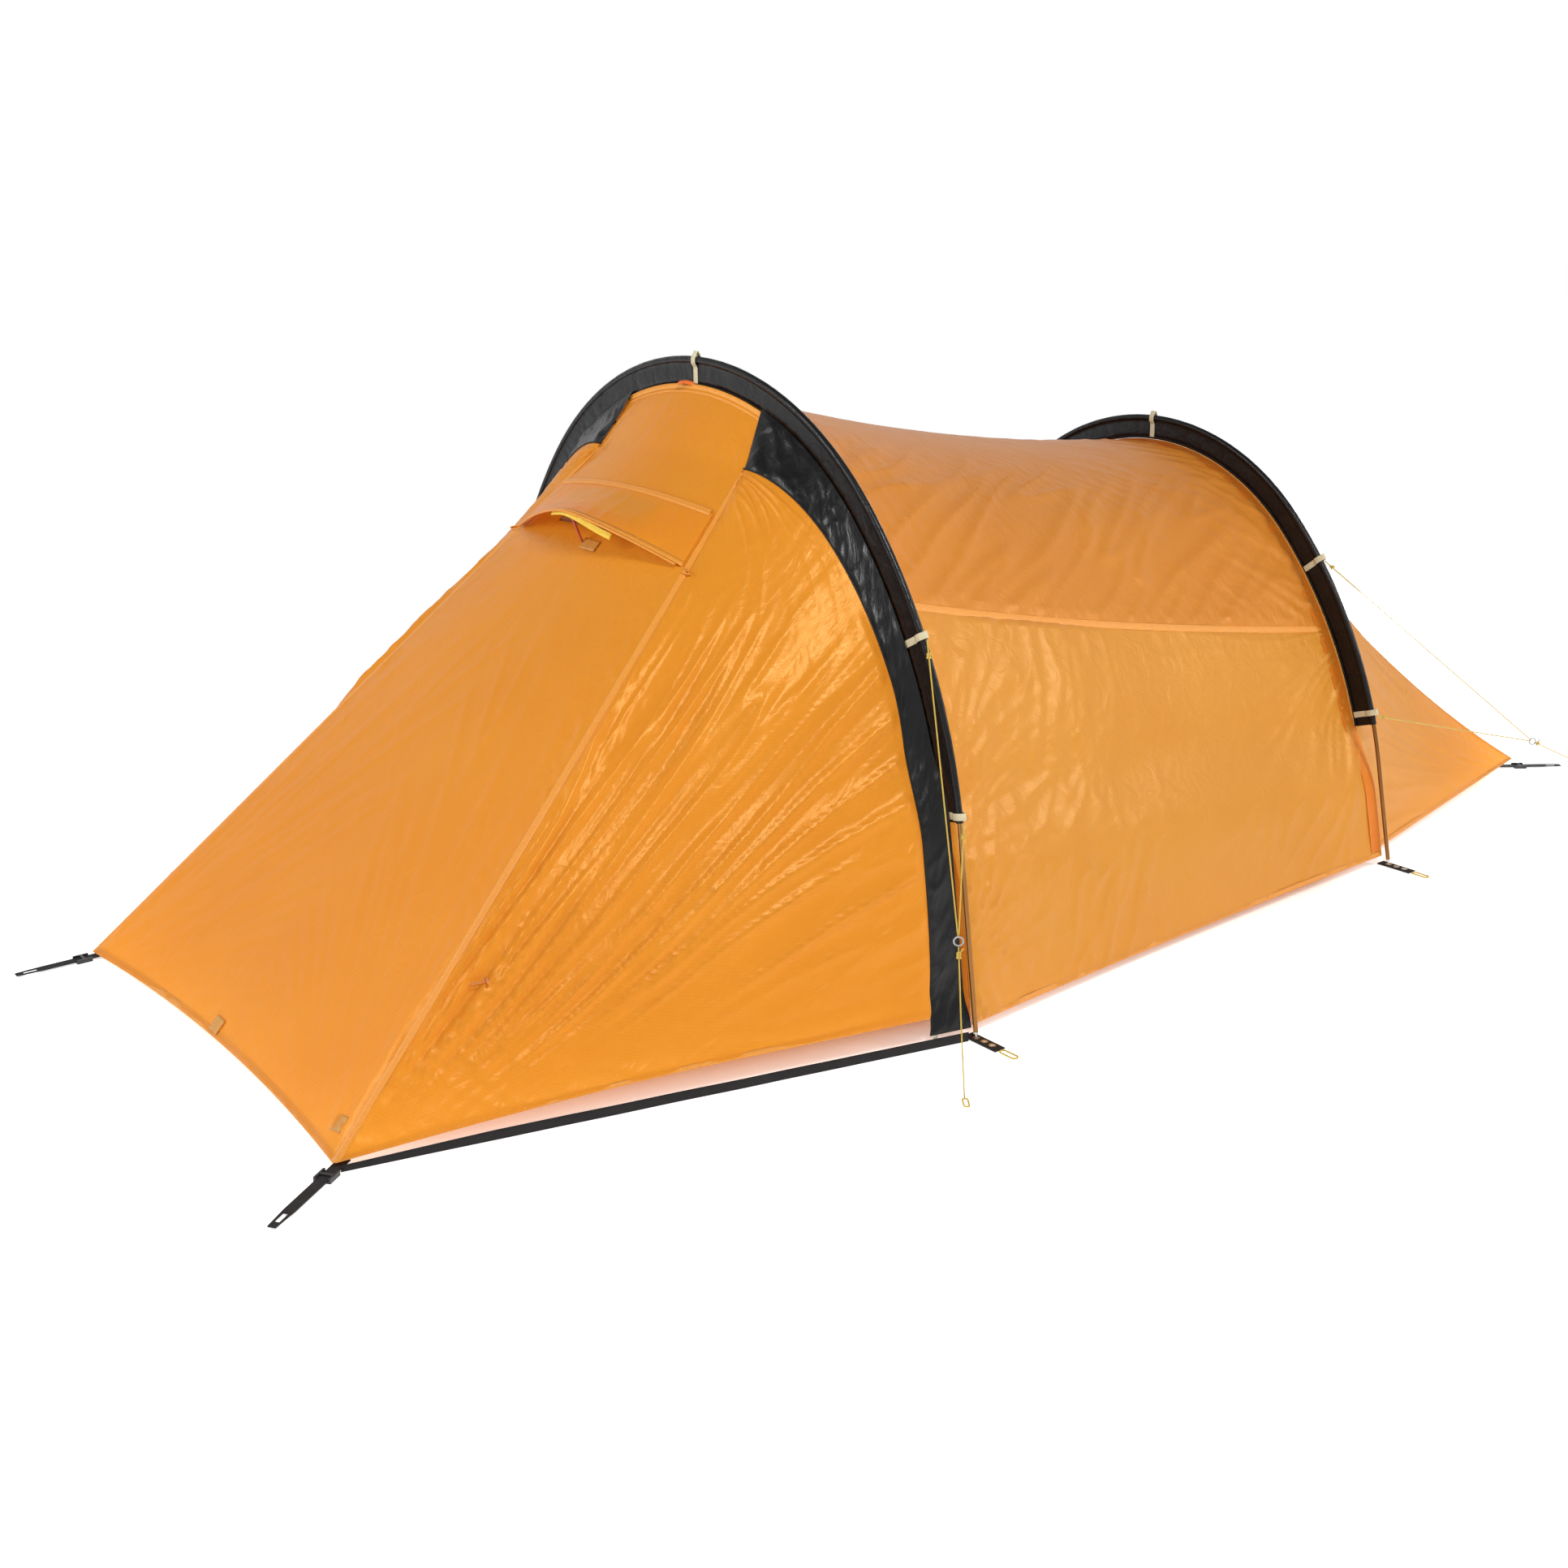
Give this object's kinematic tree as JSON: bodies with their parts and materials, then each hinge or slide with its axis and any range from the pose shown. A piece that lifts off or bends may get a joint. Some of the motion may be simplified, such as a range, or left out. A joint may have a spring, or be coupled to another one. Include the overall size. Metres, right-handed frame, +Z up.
{
  "type": "tunnel tent on two poles",
  "caption": "Low tunnel tent: orange fly on two arched poles in black sleeves, with a vestibule, side doors, hooded vent, tapered tail, inner tent, guylines and corner straps",
  "frame": {"origin": "middle of the footprint box, on the ground", "axes": "+X along the tent from the vestibule to the tail, +Y towards the far side, +Z up"},
  "size_m": [3.71, 1.9399, 1.1603],
  "materials": {
    "fly_fabric": "silicone-coated ripstop nylon, slightly see-through",
    "black_fabric": "satin woven",
    "black_webbing": "woven webbing",
    "grey_webbing": "woven webbing",
    "reflective_tab": "reflective tape",
    "pole_alloy": "gold anodised",
    "shock_cord": "braided elastic",
    "zip_coil": "nylon coil",
    "zip_metal": "plated",
    "eyelet_metal": "plated",
    "buckle_plastic": "moulded",
    "ring_plastic": "moulded",
    "guy_cord": "braided cord",
    "yellow_lining": "woven",
    "red_strut": "moulded",
    "inner_mesh": "fine net",
    "inner_fabric": "light woven nylon",
    "floor_fabric": "coated nylon",
    "hanger_elastic": "elastic cord"
  },
  "bodies": {
    "tent": {"fly_roof": "fly_fabric", "fly_near_side": "fly_fabric", "fly_far_side": "fly_fabric", "vestibule_panel": "fly_fabric", "tail_panel": "fly_fabric", "tail_near_side": "fly_fabric", "tail_far_side": "fly_fabric", "front_pole_sleeve": "black_fabric", "rear_pole_sleeve": "black_fabric", "base_straps": "black_webbing", "foot_webbing": "black_webbing", "guy_loops": "grey_webbing", "front_pole": "pole_alloy", "rear_pole": "pole_alloy", "front_pole_ferrules": "pole_alloy", "rear_pole_ferrules": "pole_alloy", "pole_tips": "pole_alloy", "front_shock_cord": "shock_cord", "rear_shock_cord": "shock_cord", "near_door_zip": "zip_coil", "far_door_zip": "zip_coil", "foot_eyelets": "eyelet_metal", "corner_buckles": "buckle_plastic", "front_guy_ring": "ring_plastic", "rear_guy_ring": "ring_plastic", "front_upper_guyline": "guy_cord", "front_lower_guyline": "guy_cord", "front_guy_tail": "guy_cord", "rear_upper_guyline": "guy_cord", "rear_lower_guyline": "guy_cord", "rear_guy_tail": "guy_cord", "guy_peg_loops": "guy_cord", "foot_peg_loops": "guy_cord", "vent_mesh": "inner_mesh", "inner_canopy": "inner_fabric", "inner_front_wall": "inner_fabric", "inner_rear_wall": "inner_fabric", "inner_floor": "floor_fabric", "inner_hangers": "hanger_elastic"},
    "near_door": {"near_door": "fly_fabric", "near_storm_flap": "black_fabric", "near_flap_tab": "reflective_tab", "near_door_toggle": "guy_cord"},
    "far_door": {"far_door": "fly_fabric", "far_storm_flap": "black_fabric", "far_flap_tab": "reflective_tab", "far_door_toggle": "guy_cord"},
    "near_zip_slider": {"near_zip_slider": "zip_metal"},
    "far_zip_slider": {"far_zip_slider": "zip_metal"},
    "near_zip_pull": {"near_zip_pull": "guy_cord"},
    "far_zip_pull": {"far_zip_pull": "guy_cord"},
    "vent_hood": {"vent_hood": "fly_fabric", "vent_brim_wire": "fly_fabric", "vent_lining": "yellow_lining"},
    "vent_strut": {"vent_strut": "red_strut"},
    "near_front_strap": {"near_front_strap": "black_webbing"},
    "far_front_strap": {"far_front_strap": "black_webbing"},
    "near_rear_strap": {"near_rear_strap": "black_webbing"},
    "far_rear_strap": {"far_rear_strap": "black_webbing"},
    "inner_door": {"inner_door": "inner_mesh"}
  },
  "joints": [
    {"name": "near_door_open", "type": "hinge", "parent": "tent", "child": "near_door", "pos_m": [-1.676, -0.541, 0.014], "axis": [-0.7249, -0.2065, -0.6572], "range_deg": [0, 100], "deforming": ["front_upper_guyline", "front_lower_guyline", "front_guy_tail", "front_guy_ring"]},
    {"name": "far_door_open", "type": "hinge", "parent": "tent", "child": "far_door", "pos_m": [-1.676, 0.541, 0.014], "axis": [0.7249, -0.2065, 0.6572], "range_deg": [0, 100]},
    {"name": "near_zip_slide", "type": "slide", "parent": "tent", "child": "near_zip_slider", "axis": [0.0085, 0.1815, 0.9834], "range_m": [0, 0.27]},
    {"name": "far_zip_slide", "type": "slide", "parent": "tent", "child": "far_zip_slider", "axis": [0.0085, -0.1815, 0.9834], "range_m": [0, 0.27]},
    {"name": "near_zip_pull_swing", "type": "hinge", "parent": "near_zip_slider", "child": "near_zip_pull", "pos_m": [-0.59188, -0.77449, 0.08307], "axis": [0.9989, -0.0467, 0], "range_deg": [0, 90]},
    {"name": "far_zip_pull_swing", "type": "hinge", "parent": "far_zip_slider", "child": "far_zip_pull", "pos_m": [-0.59188, 0.77449, 0.08307], "axis": [-0.9989, -0.0467, 0], "range_deg": [0, 90]},
    {"name": "vent_lift", "type": "hinge", "parent": "tent", "child": "vent_hood", "pos_m": [-0.71852, 0, 0.89141], "axis": [0, 1, 0], "range_deg": [0, 25]},
    {"name": "vent_strut_fold", "type": "hinge", "parent": "tent", "child": "vent_strut", "pos_m": [-0.83845, 0, 0.81491], "axis": [0, -1, 0], "range_deg": [0, 60]},
    {"name": "near_front_strap_adjust", "type": "slide", "parent": "tent", "child": "near_front_strap", "axis": [-0.829, -0.5592, 0], "range_m": [-0.03, 0.01]},
    {"name": "far_front_strap_adjust", "type": "slide", "parent": "tent", "child": "far_front_strap", "axis": [-1, 0, 0], "range_m": [-0.03, 0.01]},
    {"name": "near_rear_strap_adjust", "type": "slide", "parent": "tent", "child": "near_rear_strap", "axis": [0.809, -0.5878, 0], "range_m": [-0.03, 0.01]},
    {"name": "far_rear_strap_adjust", "type": "slide", "parent": "tent", "child": "far_rear_strap", "axis": [0.809, 0.5878, 0], "range_m": [-0.03, 0.01]},
    {"name": "inner_door_open", "type": "hinge", "parent": "tent", "child": "inner_door", "pos_m": [-0.504, -0.43, 0.2], "axis": [0, 0, -1], "range_deg": [0, 85]}
  ]
}
